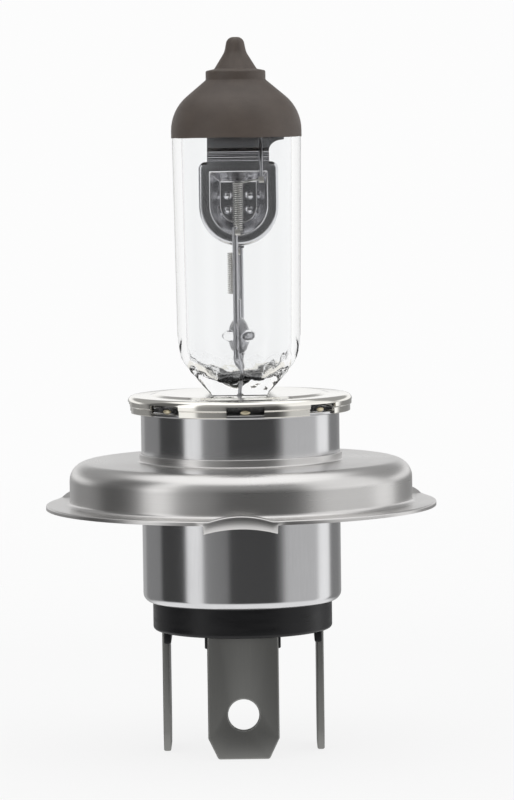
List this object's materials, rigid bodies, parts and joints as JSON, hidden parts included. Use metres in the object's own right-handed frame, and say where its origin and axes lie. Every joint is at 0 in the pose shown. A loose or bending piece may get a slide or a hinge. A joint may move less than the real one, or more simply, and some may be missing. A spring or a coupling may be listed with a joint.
{
  "type": "headlight bulb",
  "caption": "Twin-filament halogen headlight bulb: coated quartz envelope with beam shield, three-lug prefocus flange, metal base shell and blade terminals.",
  "frame": {"origin": "centre of the brim's upper face, the reference plane that seats against the lamp", "axes": "+Z along the bulb's axis towards the glass tip; -Y is the front, where the passing terminal stands and the beam shield opens; +X to the right"},
  "size_m": [0.0432, 0.0434, 0.0788],
  "materials": {
    "quartz": "clear fused quartz, fire-polished",
    "glare_coat": "matte grey-brown heat-proof coat",
    "tungsten": "drawn tungsten wire, dull grey",
    "molybdenum": "rolled and drawn molybdenum, satin",
    "bright_nickel": "bright nickel plate, slightly warm",
    "satin_steel": "drawn steel, satin",
    "insulator_plastic": "black moulded, semi-gloss",
    "terminal_metal": "plated strip, dull grey"
  },
  "bodies": {
    "root": {"glass_envelope": "quartz", "lead_bridge": "quartz", "glare_coating": "glare_coat", "passing_filament": "tungsten", "driving_filament": "tungsten", "beam_shield": "molybdenum", "passing_return_wire": "molybdenum", "filament_clamps": "molybdenum", "passing_lead_wire": "molybdenum", "driving_lead_wire": "molybdenum", "common_lead_wire": "molybdenum", "passing_seal_foil": "molybdenum", "driving_seal_foil": "molybdenum", "common_seal_foil": "molybdenum", "passing_outer_lead": "molybdenum", "driving_outer_lead": "molybdenum", "common_outer_lead": "molybdenum", "pinch_clamp": "satin_steel", "cap_disc": "bright_nickel", "base_shell": "satin_steel", "prefocus_flange": "satin_steel", "insulator_base": "insulator_plastic", "passing_terminal": "terminal_metal", "common_terminal": "terminal_metal", "driving_terminal": "terminal_metal"}
  },
  "joints": []
}
